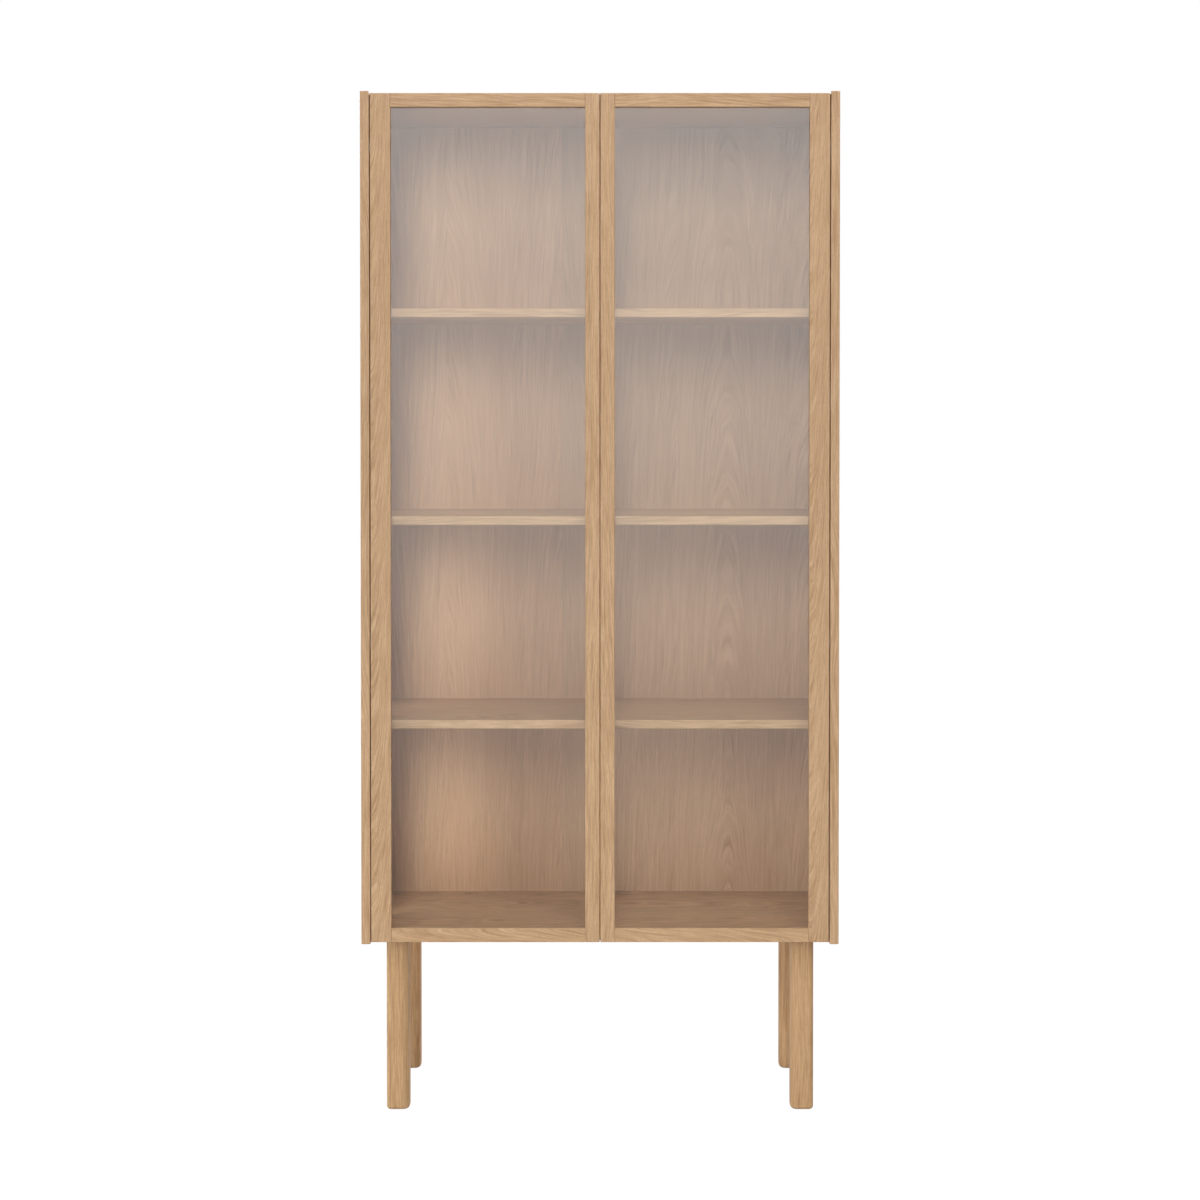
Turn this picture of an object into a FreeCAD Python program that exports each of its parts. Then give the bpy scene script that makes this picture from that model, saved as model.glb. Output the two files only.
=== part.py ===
import FreeCAD, Part
import math
import os
import re
import Sketcher

# Oak display cabinet on four legs with two framed glass doors.
# Origin on the floor under the middle of the cabinet, X across, front towards -Y, Z up, millimetres.

Vector = FreeCAD.Vector

SIZES = {
    # Carcass
    "body_width": 900,
    "body_depth": 400,
    "floor_clearance": 325,
    "side_height": 1605,
    "side_thickness": 17,
    "end_reveal": 4,
    "carcass_thickness": 18,
    "back_thickness": 8,
    "back_recess": 2,
    "rabbet_depth": 9,
    "back_side_gap": 0.5,
    "edge_radius": 1.5,
    "fit_clearance": 0.05,
    # Shelves: height of each top face above the floor
    "upper_shelf_height": 1525,
    "middle_shelf_height": 1131,
    "lower_shelf_height": 743,
    "shelf_thickness": 17,
    "shelf_setback": 50,
    "shelf_side_gap": 1.2,
    "shelf_back_gap": 1,
    "pin_diameter": 5,
    "pin_depth": 9,
    "pin_collar_diameter": 8,
    "pin_collar_thickness": 1,
    "pin_seat_length": 9,
    "pin_seat_thickness": 2.5,
    "pin_end_distance": 60,
    "pin_hole_pitch": 32,
    # Carcass dowels
    "dowel_diameter": 8,
    "dowel_side_depth": 11,
    "dowel_board_depth": 21,
    "dowel_end_distance": 32,
    # Doors
    "door_thickness": 19,
    "door_side_gap": 1.6,
    "door_centre_gap": 1.4,
    "door_back_gap": 2,
    "hinge_stile_width": 38.4,
    "meeting_stile_width": 27.3,
    "rail_width": 26.5,
    "glass_lip": 7,
    "rebate_width": 6,
    "glass_thickness": 4,
    "glass_gap": 0.5,
    "bead_chamfer": 3,
    "frame_dowel_diameter": 6,
    "frame_dowel_depth": 15,
    # Legs
    "leg_width": 43.5,
    "leg_side_inset": 44,
    "leg_front_inset": 33.5,
    "leg_rear_inset": 41,
    "leg_outer_radius": 8.5,
    "leg_inner_radius": 14,
    "foot_radius": 7,
    "glide_diameter": 24,
    "glide_thickness": 1,
    "glide_chamfer": 0.4,
    "glide_stem_diameter": 4,
    "glide_stem_length": 12,
    "bolt_diameter": 8,
    "bolt_leg_depth": 40,
    "bolt_board_depth": 12,
    "insert_diameter": 12,
    "insert_length": 14,
    # Hinges: a pin inside the door edge, a swan-neck arm on the side panel and a leaf in the stile
    "hinge_end_distance": 100,
    "hinge_height": 30,
    "hinge_play": 0.3,
    "pin_edge_distance": 6,
    "pin_face_distance": 5,
    "hinge_pin_diameter": 3,
    "knuckle_diameter": 6,
    "arm_knuckle_height": 11.4,
    "arm_thickness": 3,
    "plate_radius": 4,
    "leaf_thickness": 2,
    "leaf_reach": 22,
    "arm_shelf_gap": 3,
    "hinge_screw_spacing": 18,
    # Screws
    "screw_diameter": 3.2,
    "screw_head_diameter": 5.8,
    "screw_head_height": 1.4,
    "drive_length": 3.4,
    "drive_width": 0.8,
    "drive_depth": 0.9,
    "arm_screw_length": 14,
    "leaf_screw_length": 9,
    "back_screw_length": 24,
    # Push latches, strikes and bumpers
    "latch_diameter": 10,
    "latch_length": 40,
    "latch_end_wall": 2,
    "plunger_diameter": 6,
    "plunger_length": 25,
    "plunger_tip_radius": 1,
    "strike_diameter": 12,
    "strike_thickness": 1.5,
    "stop_gap": 0.3,
    "bumper_diameter": 8,
    "bumper_inset": 65,
}

# Places that follow from the sizes, each a formula over sizes and earlier places.
PLACES = {
    "side_outer": "body_width / 2",
    "side_inner": "side_outer - side_thickness",
    "front": "-body_depth / 2",
    "rear": "body_depth / 2",
    "side_top": "floor_clearance + side_height",
    "door_bottom": "floor_clearance + end_reveal",
    "door_top": "side_top - end_reveal",
    "board_front": "front + door_thickness + door_back_gap",
    "back_inside": "rear - back_recess - back_thickness",
    "floor_top": "door_bottom + carcass_thickness",
    "roof_underside": "door_top - carcass_thickness",
    "floor_middle": "door_bottom + carcass_thickness / 2",
    "roof_middle": "door_top - carcass_thickness / 2",
    "shelf_front": "front + shelf_setback",
    "shelf_rear": "back_inside - shelf_back_gap",
    "shelf_half": "side_inner - shelf_side_gap",
    # Left door, measured across
    "door_outer": "-(side_inner - door_side_gap)",
    "door_inner": "-door_centre_gap / 2",
    "opening_left": "door_outer + hinge_stile_width",
    "opening_right": "door_inner - meeting_stile_width",
    "rebate_left": "opening_left - rebate_width",
    "rebate_right": "opening_right + rebate_width",
    "opening_low": "door_bottom + rail_width",
    "opening_high": "door_top - rail_width",
    "rebate_low": "opening_low - rebate_width",
    "rebate_high": "opening_high + rebate_width",
    "glass_front": "front + glass_lip",
    "glass_rear": "glass_front + glass_thickness",
    "door_rear": "front + door_thickness",
    "frame_dowel_y": "(glass_front + door_rear) / 2",
    "low_dowel_z": "(door_bottom + rebate_low) / 2",
    "high_dowel_z": "(door_top + rebate_high) / 2",
    # Legs
    "leg_outer": "-(side_outer - leg_side_inset)",
    "leg_front": "front + leg_front_inset",
    "leg_rear": "rear - leg_rear_inset",
    "leg_x": "leg_outer + leg_width / 2",
    "front_leg_y": "leg_front + leg_width / 2",
    "rear_leg_y": "leg_rear - leg_width / 2",
    # Hinges; the second group is measured from the hinge pin
    "hinge_x": "door_outer + pin_edge_distance",
    "hinge_y": "front + pin_face_distance",
    "lowest_hinge": "door_bottom + hinge_end_distance",
    "hinge_pitch": "(door_top - door_bottom - 2 * hinge_end_distance) / 3",
    "wall": "-(pin_edge_distance + door_side_gap)",
    "leaf_back": "door_thickness - pin_face_distance",
    "neck_near": "sqrt(pin_edge_distance ^ 2 + pin_face_distance ^ 2) + hinge_play",
    "neck_far": "neck_near + arm_thickness",
    "arm_end": "shelf_setback - pin_face_distance - arm_shelf_gap",
    "arm_screw_y": "(neck_far + arm_end) / 2",
    "web_near": "knuckle_diameter / 2 + hinge_play",
    "web_far": "web_near + leaf_thickness",
    "leaf_screw_x": "(web_far + leaf_reach) / 2",
    "knuckle_height": "(hinge_height - arm_knuckle_height) / 2 - hinge_play",
    # Latches
    "latch_x": "(rebate_right + door_inner) / 2",
    "plunger_tip": "door_rear + stop_gap",
    "bumper_x": "side_outer - bumper_inset",
}

TOUCH = 0.01
OVERRUN = "1"
HINGE_COUNT = 4
SPARE_PIN_HOLES = 2
DOWELS_PER_JOINT = 4
BACK_SCREWS_PER_ROW = 4
LEFT_RIGHT = Vector(1, 0, 0)
FRONT_REAR = Vector(0, 1, 0)
TURN = {
    "x": FreeCAD.Rotation(Vector(0, 1, 0), 90),
    "y": FreeCAD.Rotation(Vector(1, 0, 0), -90),
    "z": FreeCAD.Rotation(),
}

doc = FreeCAD.newDocument("display_cabinet")
nodes = []


def formula(text):
    """Point each size or place that a formula names at its sheet."""
    def cell(match):
        word = match.group(0)
        if word in SIZES:
            return "Sizes." + word
        if word in PLACES:
            return "Places." + word
        return word
    return re.sub(r"[a-z_]+", cell, text)


def fill_sheets():
    """Write the driving sizes as plain numbers and the places as formulas."""
    sizes = doc.addObject("Spreadsheet::Sheet", "Sizes")
    for row, (alias, value) in enumerate(SIZES.items(), 1):
        sizes.set(f"A{row}", alias)
        sizes.set(f"B{row}", str(value))
        sizes.setAlias(f"B{row}", alias)
    places = doc.addObject("Spreadsheet::Sheet", "Places")
    for row, (alias, text) in enumerate(PLACES.items(), 1):
        places.set(f"A{row}", alias)
        places.set(f"B{row}", "=" + formula(text))
        places.setAlias(f"B{row}", alias)
    doc.recompute()


def bind(thing, prop, text):
    thing.setExpression(prop, formula(text))


def place(thing, spot):
    for axis, text in zip("xyz", spot):
        bind(thing, "Placement.Base." + axis, text)


def keep(thing, label):
    """Name a finished sub-part; its label names its file."""
    thing.Label = label
    nodes.append(thing)
    return thing


# Solids


def box(name, x, y, z):
    """Box between two formulas on each axis."""
    solid = doc.addObject("Part::Box", name)
    for prop, (low, high) in zip(("Length", "Width", "Height"), (x, y, z)):
        bind(solid, prop, f"{high} - ({low})")
    place(solid, (x[0], y[0], z[0]))
    return solid


def rod(name, axis, diameter, length, spot=("0", "0", "0")):
    """Cylinder along an axis, from its start point."""
    solid = doc.addObject("Part::Cylinder", name)
    solid.Placement = FreeCAD.Placement(Vector(), TURN[axis])
    bind(solid, "Radius", f"({diameter}) / 2")
    bind(solid, "Height", length)
    place(solid, spot)
    return solid


def sketch_on(body, name, role, offset):
    """Sketch on one of the body's own origin planes, moved along the plane's normal."""
    sketch = body.newObject("Sketcher::SketchObject", name)
    plane = next(item for item in body.Origin.OriginFeatures if item.Role == role)
    sketch.AttachmentSupport = [(plane, "")]
    sketch.MapMode = "FlatFace"
    bind(sketch, "AttachmentOffset.Base.z", offset)
    return sketch


def fix_point(sketch, geometry, vertex, start, spot):
    """Hold a point of the sketch at two formulas."""
    for kind, value, text in zip(("DistanceX", "DistanceY"), start, spot):
        index = sketch.addConstraint(Sketcher.Constraint(kind, -1, 1, geometry, vertex, value))
        bind(sketch, f"Constraints[{index}]", text)


def draw_polygon(sketch, corners):
    """Closed outline through corners given as formulas."""
    count = len(corners)
    turns = [2 * math.pi * number / count for number in range(count)]
    starts = [Vector(math.cos(turn), math.sin(turn), 0) for turn in turns]
    for number, start in enumerate(starts):
        sketch.addGeometry(Part.LineSegment(start, starts[(number + 1) % count]), False)
    for number in range(count):
        sketch.addConstraint(Sketcher.Constraint("Coincident", number, 2, (number + 1) % count, 1))
    for number, corner in enumerate(corners):
        fix_point(sketch, number, 1, (starts[number].x, starts[number].y), corner)


def draw_circle(sketch, diameter):
    """Circle about the sketch's origin."""
    geometry = sketch.addGeometry(Part.Circle(Vector(), Vector(0, 0, 1), 1), False)
    sketch.addConstraint(Sketcher.Constraint("Coincident", geometry, 3, -1, 1))
    index = sketch.addConstraint(Sketcher.Constraint("Diameter", geometry, 2))
    bind(sketch, f"Constraints[{index}]", diameter)


def new_body(name):
    return doc.addObject("PartDesign::Body", name)


def pad(body, name, role, start, length, corners=None, diameter=None):
    """Pad an outline or a circle from a plane's offset."""
    sketch = sketch_on(body, name + "_sketch", role, start)
    if corners:
        draw_polygon(sketch, corners)
    else:
        draw_circle(sketch, diameter)
    feature = body.newObject("PartDesign::Pad", name)
    feature.Profile = sketch
    bind(feature, "Length", length)
    doc.recompute()
    return feature


def revolve(name, outline):
    """Body turned about Z from an outline of radius and height."""
    body = new_body(name)
    sketch = sketch_on(body, name + "_sketch", "XZ_Plane", "0")
    draw_polygon(sketch, outline)
    feature = body.newObject("PartDesign::Revolution", name + "_turned")
    feature.Profile = sketch
    feature.ReferenceAxis = (sketch, ["V_Axis"])
    feature.Angle = 360
    doc.recompute()
    return body


def edges_on(feature, side, along=None):
    """Names of the edges that lie on one side of a solid's bounds, maybe only those along one axis."""
    axis = side[0]
    limit = getattr(feature.Shape.BoundBox, side)
    names = []
    for number, edge in enumerate(feature.Shape.Edges, 1):
        bounds = edge.BoundBox
        low = getattr(bounds, axis + "Min")
        high = getattr(bounds, axis + "Max")
        if abs(low - limit) > TOUCH or abs(high - limit) > TOUCH:
            continue
        if along and edge.Length - getattr(bounds, along + "Length") > TOUCH:
            continue
        names.append(f"Edge{number}")
    return names


def ease(body, feature, radius, edges):
    """Round edges of a body's feature."""
    fillet = body.newObject("PartDesign::Fillet", feature.Name + "_eased")
    fillet.Base = (feature, edges)
    bind(fillet, "Radius", radius)
    doc.recompute()
    return fillet


def board(name, x, y, z):
    """Body padded up from a rectangle."""
    body = new_body(name)
    corners = [(x[0], y[0]), (x[1], y[0]), (x[1], y[1]), (x[0], y[1])]
    feature = pad(body, name + "_pad", "XY_Plane", z[0], f"{z[1]} - ({z[0]})", corners)
    return body, feature


def copies(name, base, spots):
    """Group of separate solids: one copy of a base at each spot."""
    links = []
    for number, spot in enumerate(spots, 1):
        link = doc.addObject("App::Link", f"{name}_{number}")
        link.LinkedObject = base
        link.LinkTransform = True
        place(link, spot)
        links.append(link)
    return gather(name, links)


def gather(name, things):
    group = doc.addObject("Part::Compound", name)
    group.Links = things
    return group


def cut(name, base, tools):
    """Base with one group of tools taken away."""
    result = doc.addObject("Part::Cut", name)
    result.Base = base
    result.Tool = gather(name + "_tools", tools)
    return result


def mirror(name, source, normal=LEFT_RIGHT):
    """Mirror image across the middle of the cabinet."""
    result = doc.addObject("Part::Mirroring", name)
    result.Source = source
    result.Normal = normal
    return result


def spread(low, high, count):
    """Formulas of evenly spaced places from low to high."""
    return [f"{low} + ({high} - ({low})) * {number} / {count - 1}" for number in range(count)]


# Spots that several pieces share

SHELVES = ("upper", "middle", "lower")


def shelf_underside(shelf):
    return f"{shelf}_shelf_height - shelf_thickness"


def left_pin_spots(shelf):
    rows = ("shelf_front + pin_end_distance", "shelf_rear - pin_end_distance")
    return [("-side_inner", row, shelf_underside(shelf)) for row in rows]


def left_pin_hole_spots(shelf):
    """Holes for the shelf's pins, with spare ones above and below for moving the shelf."""
    steps = range(-SPARE_PIN_HOLES, SPARE_PIN_HOLES + 1)
    return [(x, y, f"{z} + {step} * pin_hole_pitch") for x, y, z in left_pin_spots(shelf) for step in steps]


def left_dowel_spots():
    rows = spread("board_front + dowel_end_distance", "back_inside - dowel_end_distance", DOWELS_PER_JOINT)
    return [("-side_inner", row, level) for level in ("floor_middle", "roof_middle") for row in rows]


def hinge_spots():
    heights = [f"lowest_hinge + {number} * hinge_pitch" for number in range(HINGE_COUNT)]
    return [("hinge_x", "hinge_y", height) for height in heights]


def arm_screw_spots():
    signs = ("-", "+")
    return [("-side_inner + leaf_thickness", f"{y} + arm_screw_y", f"{z} {sign} hinge_screw_spacing / 2")
            for x, y, z in hinge_spots() for sign in signs]


def leaf_screw_spots():
    signs = ("-", "+")
    return [(f"{x} + leaf_screw_x", "door_rear", f"{z} {sign} hinge_screw_spacing / 2")
            for x, y, z in hinge_spots() for sign in signs]


def frame_dowel_spots():
    return [(joint, "frame_dowel_y", level)
            for joint in ("rebate_left", "rebate_right") for level in ("low_dowel_z", "high_dowel_z")]


def back_screw_spots():
    end = "side_inner - dowel_end_distance"
    across = spread(f"-({end})", end, BACK_SCREWS_PER_ROW)
    upward = spread("lower_shelf_height", "upper_shelf_height", BACK_SCREWS_PER_ROW)
    rows = [(x, level) for level in ("floor_middle", "roof_middle") for x in across]
    sides = [(f"{sign}(side_inner + rabbet_depth / 2)", z) for sign in ("-", "") for z in upward]
    return [(x, "rear - back_recess", z) for x, z in rows + sides]


def foot_spots():
    return [(x, y, "0") for x in ("leg_x", "-leg_x") for y in ("front_leg_y", "rear_leg_y")]


def bumper_spots():
    low = [(x, "floor_middle") for x in ("latch_x", "-latch_x", "bumper_x", "-bumper_x")]
    high = [(x, "roof_middle") for x in ("bumper_x", "-bumper_x")]
    return [(x, "board_front", z) for x, z in low + high]


# Fastener forms, each about its own axis


def screw_form(name, length, clearance="0"):
    """Countersunk form with its head at the origin and its point towards -Z."""
    shank = f"screw_diameter / 2 + {clearance}"
    head = f"screw_head_diameter / 2 + {clearance}"
    return revolve(name, [
        ("0", "0"), (head, "0"), (shank, "-screw_head_height"),
        (shank, f"-({length}) - {clearance}"), ("0", f"-({length}) - {clearance}")])


def screw_hole(name, length):
    return screw_form(name, length, "fit_clearance")


def screw(name, length):
    """Screw with a cross recess in its head."""
    long = ("-drive_length / 2", "drive_length / 2")
    short = ("-drive_width / 2", "drive_width / 2")
    deep = ("-drive_depth", OVERRUN)
    slots = [box(name + "_slot", long, short, deep), box(name + "_cross_slot", short, long, deep)]
    return cut(name, screw_form(name + "_blank", length), slots)


def turned(solid, axis):
    """Turn a solid about Z so that it lies along another axis."""
    solid.Placement = FreeCAD.Placement(Vector(), TURN[axis])
    return solid


# Carcass


def make_sides():
    body, blank = board("side_blank", ("-side_outer", "-side_inner"), ("front", "rear"),
                        ("floor_clearance", "side_top"))
    every_edge = [f"Edge{number}" for number in range(1, len(blank.Shape.Edges) + 1)]
    ease(body, blank, "edge_radius", every_edge)
    rabbet = box("side_rabbet", ("-side_inner - rabbet_depth", f"-side_inner + {OVERRUN}"),
                 ("back_inside", f"rear + {OVERRUN}"), ("door_bottom", "door_top"))
    dowel_hole = rod("side_dowel_hole", "x", "dowel_diameter + 2 * fit_clearance",
                     f"dowel_side_depth + {OVERRUN}", ("-dowel_side_depth", "0", "0"))
    pin_hole = rod("side_pin_hole", "x", "pin_diameter + 2 * fit_clearance", f"pin_depth + {OVERRUN}",
                   ("-pin_depth", "0", "0"))
    arm_hole = turned(screw_hole("side_screw_hole", "arm_screw_length"), "x")
    back_hole = turned(screw_hole("side_back_screw_hole", "back_screw_length"), "y")
    pins = [spot for shelf in SHELVES for spot in left_pin_hole_spots(shelf)]
    left = cut("side_panel_left", body, [
        rabbet,
        copies("side_dowel_holes", dowel_hole, left_dowel_spots()),
        copies("side_pin_holes", pin_hole, pins),
        copies("side_screw_holes", arm_hole, arm_screw_spots()),
        copies("side_back_screw_holes", back_hole, back_screw_spots())])
    keep(left, "side_panel_left")
    keep(mirror("side_panel_right", left), "side_panel_right")


def make_floor_and_roof():
    span = ("-side_inner", "side_inner")
    reach = ("board_front", "back_inside")
    dowel_hole = rod("board_dowel_hole", "x", "dowel_diameter + 2 * fit_clearance",
                     f"dowel_board_depth + {OVERRUN}", (f"-{OVERRUN}", "0", "0"))
    left_holes = copies("board_dowel_holes_left", dowel_hole, left_dowel_spots())
    holes = [left_holes, mirror("board_dowel_holes_right", left_holes)]
    back_hole = turned(screw_hole("board_back_screw_hole", "back_screw_length"), "y")
    holes.append(copies("board_back_screw_holes", back_hole, back_screw_spots()))
    insert_hole = rod("insert_hole", "z", "insert_diameter + 2 * fit_clearance",
                      f"insert_length + {OVERRUN}", ("0", "0", f"door_bottom - {OVERRUN}"))
    insert_holes = copies("insert_holes", insert_hole, foot_spots())
    floor = box("bottom_blank", span, reach, ("door_bottom", "floor_top"))
    keep(cut("bottom_panel", floor, holes + [insert_holes]), "bottom_panel")
    latch_hole = rod("latch_hole", "y", "latch_diameter + 2 * fit_clearance", f"latch_length + {OVERRUN}",
                     ("0", f"board_front - {OVERRUN}", "roof_middle"))
    latch_holes = copies("latch_holes", latch_hole, [("latch_x", "0", "0"), ("-latch_x", "0", "0")])
    roof = box("top_blank", span, reach, ("roof_underside", "door_top"))
    keep(cut("top_panel", roof, holes + [latch_holes]), "top_panel")


def make_back():
    half = "side_inner + rabbet_depth - back_side_gap"
    panel = box("back_blank", (f"-({half})", half), ("back_inside", "rear - back_recess"),
                ("door_bottom", "door_top"))
    hole = turned(screw_hole("back_screw_hole", "back_screw_length"), "y")
    keep(cut("back_panel", panel, [copies("back_screw_holes", hole, back_screw_spots())]), "back_panel")
    base = turned(screw("back_screw", "back_screw_length"), "y")
    keep(copies("back_panel_screws", base, back_screw_spots()), "back_panel_screws")


def make_carcass_dowels():
    length = "dowel_side_depth + dowel_board_depth - 2 * stop_gap"
    base = rod("carcass_dowel", "x", "dowel_diameter", length, ("stop_gap - dowel_side_depth", "0", "0"))
    left = copies("carcass_dowels_left", base, left_dowel_spots())
    keep(gather("carcass_dowels", [left, mirror("carcass_dowels_right", left)]), "carcass_dowels")


def make_shelf_pin():
    """Spoon pin: a stem in the side panel, a collar and a flat seat under the shelf."""
    stem = rod("pin_stem", "x", "pin_diameter", "pin_depth - stop_gap", ("stop_gap - pin_depth", "0", "0"))
    collar = rod("pin_collar", "x", "pin_collar_diameter", "pin_collar_thickness")
    spoon = rod("pin_spoon", "x", "pin_collar_diameter", "pin_seat_length")
    seat = box("pin_seat", ("0", "pin_seat_length"),
               ("-pin_collar_diameter / 2", "pin_collar_diameter / 2"), ("-pin_seat_thickness", "0"))
    flat = doc.addObject("Part::Common", "pin_flat_seat")
    flat.Base = spoon
    flat.Tool = seat
    pin = doc.addObject("Part::MultiFuse", "shelf_pin")
    pin.Shapes = [stem, collar, flat]
    return pin


def make_shelves():
    pin = make_shelf_pin()
    for shelf in SHELVES:
        body, blank = board(f"shelf_{shelf}", ("-shelf_half", "shelf_half"), ("shelf_front", "shelf_rear"),
                            (shelf_underside(shelf), f"{shelf}_shelf_height"))
        ease(body, blank, "edge_radius", edges_on(blank, "YMin", along="X"))
        keep(body, f"shelf_{shelf}")
        left = copies(f"shelf_pins_{shelf}_left", pin, left_pin_spots(shelf))
        pins = gather(f"shelf_pins_{shelf}", [left, mirror(f"shelf_pins_{shelf}_right", left)])
        keep(pins, f"shelf_pins_{shelf}")


# Legs


def make_legs():
    body, blank = board("leg_blank", ("leg_outer", "leg_outer + leg_width"),
                        ("leg_front", "leg_front + leg_width"), ("glide_thickness", "door_bottom"))
    outside = ease(body, blank, "leg_outer_radius", edges_on(blank, "XMin", along="Z"))
    inside = ease(body, outside, "leg_inner_radius", edges_on(outside, "XMax", along="Z"))
    ease(body, inside, "foot_radius", edges_on(inside, "ZMin"))
    bolt_hole = rod("leg_bolt_hole", "z", "bolt_diameter + 2 * fit_clearance", f"bolt_leg_depth + {OVERRUN}",
                    ("leg_x", "front_leg_y", "door_bottom - bolt_leg_depth"))
    sole = f"glide_thickness - {OVERRUN}"
    stem_hole = rod("leg_glide_hole", "z", "glide_stem_diameter + 2 * fit_clearance",
                    f"glide_stem_length + {OVERRUN}", ("leg_x", "front_leg_y", sole))
    front_left = cut("leg_front_left", body, [bolt_hole, stem_hole])
    keep(front_left, "leg_front_left")
    keep(mirror("leg_front_right", front_left), "leg_front_right")
    rear_left = keep(mirror("leg_rear_left", front_left, FRONT_REAR), "leg_rear_left")
    bind(rear_left, "Base.y", "(leg_front + leg_rear) / 2")
    keep(mirror("leg_rear_right", rear_left), "leg_rear_right")


def make_leg_hardware():
    length = "bolt_leg_depth + bolt_board_depth - stop_gap"
    foot = "door_bottom - bolt_leg_depth + stop_gap"
    bolt = rod("leg_bolt", "z", "bolt_diameter", length, ("0", "0", foot))
    keep(copies("leg_bolts", bolt, foot_spots()), "leg_bolts")
    bore = "bolt_diameter / 2 + fit_clearance"
    rim = "insert_diameter / 2"
    top = "door_bottom + insert_length"
    insert = revolve("leg_insert", [(bore, "door_bottom"), (rim, "door_bottom"), (rim, top), (bore, top)])
    keep(copies("leg_inserts", insert, foot_spots()), "leg_inserts")
    disc = "glide_diameter / 2"
    stem = "glide_stem_diameter / 2"
    glide = revolve("foot_glide", [
        ("0", "0"), (f"{disc} - glide_chamfer", "0"), (disc, "glide_chamfer"), (disc, "glide_thickness"),
        (stem, "glide_thickness"), (stem, "glide_thickness + glide_stem_length - stop_gap"),
        ("0", "glide_thickness + glide_stem_length - stop_gap")])
    keep(copies("foot_glides", glide, foot_spots()), "foot_glides")


# Hinges, drawn about the pin of a left-hand hinge


def make_hinge_arm():
    """Knuckle, swan neck round the swinging door edge, and plate on the side panel."""
    body = new_body("hinge_arm")
    low = "-arm_knuckle_height / 2"
    half = "arm_thickness / 2"
    plate = "wall + leaf_thickness"
    neck = [(f"-{half}", "0"), (half, "0"), (half, "neck_far"), (plate, "neck_far"), (plate, "arm_end"),
            ("wall", "arm_end"), ("wall", "neck_near"), (f"-{half}", "neck_near")]
    pad(body, "arm_neck", "XY_Plane", low, "arm_knuckle_height", neck)
    pad(body, "arm_knuckle", "XY_Plane", low, "arm_knuckle_height", diameter="knuckle_diameter")
    start = "neck_far + hinge_play"
    flange = [("wall", start), (plate, start), (plate, "arm_end"), ("wall", "arm_end")]
    feature = pad(body, "arm_plate", "XY_Plane", "-hinge_height / 2", "hinge_height", flange)
    ease(body, feature, "plate_radius", edges_on(feature, "YMax", along="X"))
    bore = rod("arm_bore", "z", "hinge_pin_diameter + 2 * fit_clearance", "hinge_height",
               ("0", "0", "-hinge_height / 2"))
    hole = turned(screw_hole("arm_screw_hole", "arm_screw_length"), "x")
    holes = [(plate, "arm_screw_y", f"{sign} hinge_screw_spacing / 2") for sign in ("-", "")]
    return cut("hinge_arm_drilled", body, [bore, copies("arm_screw_holes", hole, holes)])


def make_hinge_leaf():
    """Two knuckles, a web into the stile's mortise and a flange on the stile's rear face."""
    body = new_body("hinge_leaf")
    low = "-hinge_height / 2"
    floor = "leaf_back - leaf_thickness"
    edge = "-hinge_pin_diameter / 2"
    angle = [("web_near", edge), ("web_far", edge), ("web_far", floor), ("leaf_reach", floor),
             ("leaf_reach", "leaf_back"), ("web_near", "leaf_back")]
    pad(body, "leaf_angle", "XY_Plane", low, "hinge_height", angle)
    lug = [("0", edge), ("web_far", edge), ("web_far", f"-({edge})"), ("0", f"-({edge})")]
    for name, start in (("lower", low), ("upper", "hinge_height / 2 - knuckle_height")):
        pad(body, f"leaf_lug_{name}", "XY_Plane", start, "knuckle_height", lug)
        pad(body, f"leaf_knuckle_{name}", "XY_Plane", start, "knuckle_height", diameter="knuckle_diameter")
    bore = rod("leaf_bore", "z", "hinge_pin_diameter + 2 * fit_clearance", "hinge_height", ("0", "0", low))
    hole = turned(screw_hole("leaf_screw_hole", "leaf_screw_length"), "y")
    holes = [("leaf_screw_x", "leaf_back", f"{sign} hinge_screw_spacing / 2") for sign in ("-", "")]
    return cut("hinge_leaf_drilled", body, [bore, copies("leaf_screw_holes", hole, holes)])


def make_mortise():
    """Space that one hinge needs in the hinge stile."""
    height = ("-hinge_height / 2 - fit_clearance", "hinge_height / 2 + fit_clearance")
    pocket = box("mortise_pocket", (f"-pin_edge_distance - {OVERRUN}", "web_far + fit_clearance"),
                 ("-knuckle_diameter / 2 - hinge_play", f"leaf_back + {OVERRUN}"), height)
    recess = box("mortise_recess", ("0", "leaf_reach + fit_clearance"),
                 ("leaf_back - leaf_thickness", f"leaf_back + {OVERRUN}"), height)
    mortise = doc.addObject("Part::Fuse", "hinge_mortise")
    mortise.Base = pocket
    mortise.Tool = recess
    return mortise


def make_hinges():
    arms = keep(copies("hinge_arms_left", make_hinge_arm(), hinge_spots()), "hinge_arms_left")
    keep(mirror("hinge_arms_right", arms), "hinge_arms_right")
    leaves = keep(copies("hinge_leaves_left", make_hinge_leaf(), hinge_spots()), "hinge_leaves_left")
    keep(mirror("hinge_leaves_right", leaves), "hinge_leaves_right")
    pin = rod("hinge_pin", "z", "hinge_pin_diameter", "hinge_height", ("0", "0", "-hinge_height / 2"))
    pins = keep(copies("hinge_pins_left", pin, hinge_spots()), "hinge_pins_left")
    keep(mirror("hinge_pins_right", pins), "hinge_pins_right")
    arm_screw = turned(screw("arm_screw", "arm_screw_length"), "x")
    left = copies("arm_screws_left", arm_screw, arm_screw_spots())
    keep(gather("hinge_arm_screws", [left, mirror("arm_screws_right", left)]), "hinge_arm_screws")
    leaf_screw = turned(screw("leaf_screw", "leaf_screw_length"), "y")
    screws = keep(copies("hinge_leaf_screws_left", leaf_screw, leaf_screw_spots()), "hinge_leaf_screws_left")
    keep(mirror("hinge_leaf_screws_right", screws), "hinge_leaf_screws_right")


# Doors, drawn as the left door and mirrored


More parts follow.
